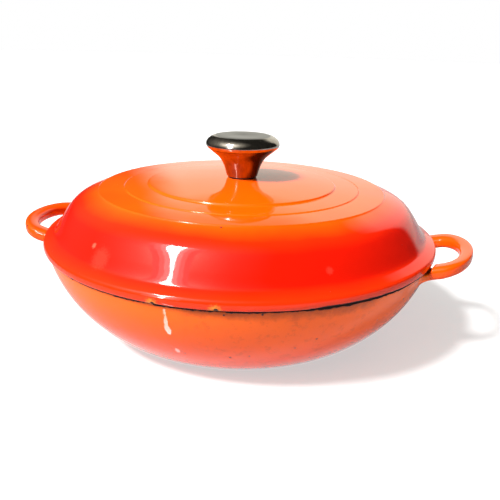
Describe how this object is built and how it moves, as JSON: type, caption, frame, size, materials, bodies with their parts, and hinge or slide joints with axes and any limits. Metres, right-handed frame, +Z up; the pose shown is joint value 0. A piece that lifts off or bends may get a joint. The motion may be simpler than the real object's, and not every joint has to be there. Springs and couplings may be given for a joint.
{
  "type": "cast iron casserole",
  "caption": "Round enamelled cast iron casserole with a loop handle on each side and a domed lid, stepped on top, with a hollow steel knob held by a screw.",
  "frame": {"origin": "the point on the table under the pot's centre", "axes": "+X through the right-hand handle, +Y towards the back, +Z up along the pot's axis"},
  "size_m": [0.371, 0.315, 0.156],
  "materials": {
    "pot_enamel": "glossy orange vitreous enamel outside, cream enamel inside, matte dark ground rim",
    "lid_enamel": "glossy vitreous enamel that shades from orange on the top to red at the rim, cream inside",
    "knob_steel": "polished stainless steel, brushed on top",
    "plated_steel": "plain bright steel",
    "washer_black": "matte black"
  },
  "bodies": {
    "pot": {"pot_body": "pot_enamel"},
    "lid_lift": {"lid_washer": "plated_steel"},
    "lid": {"lid": "lid_enamel", "knob_gasket": "washer_black", "knob_stem": "knob_steel", "knob_cap": "knob_steel", "knob_insert": "plated_steel", "spring_washer": "plated_steel", "lid_screw": "plated_steel"}
  },
  "joints": [
    {"name": "lid_lift_slide", "type": "slide", "parent": "pot", "child": "lid_lift", "axis": [0, 0, 1], "range_m": [0, 0.17]},
    {"name": "lid_turn", "type": "hinge", "parent": "lid_lift", "child": "lid", "pos_m": [0, 0, 0.1155], "axis": [0, 0, 1], "continuous": true}
  ]
}
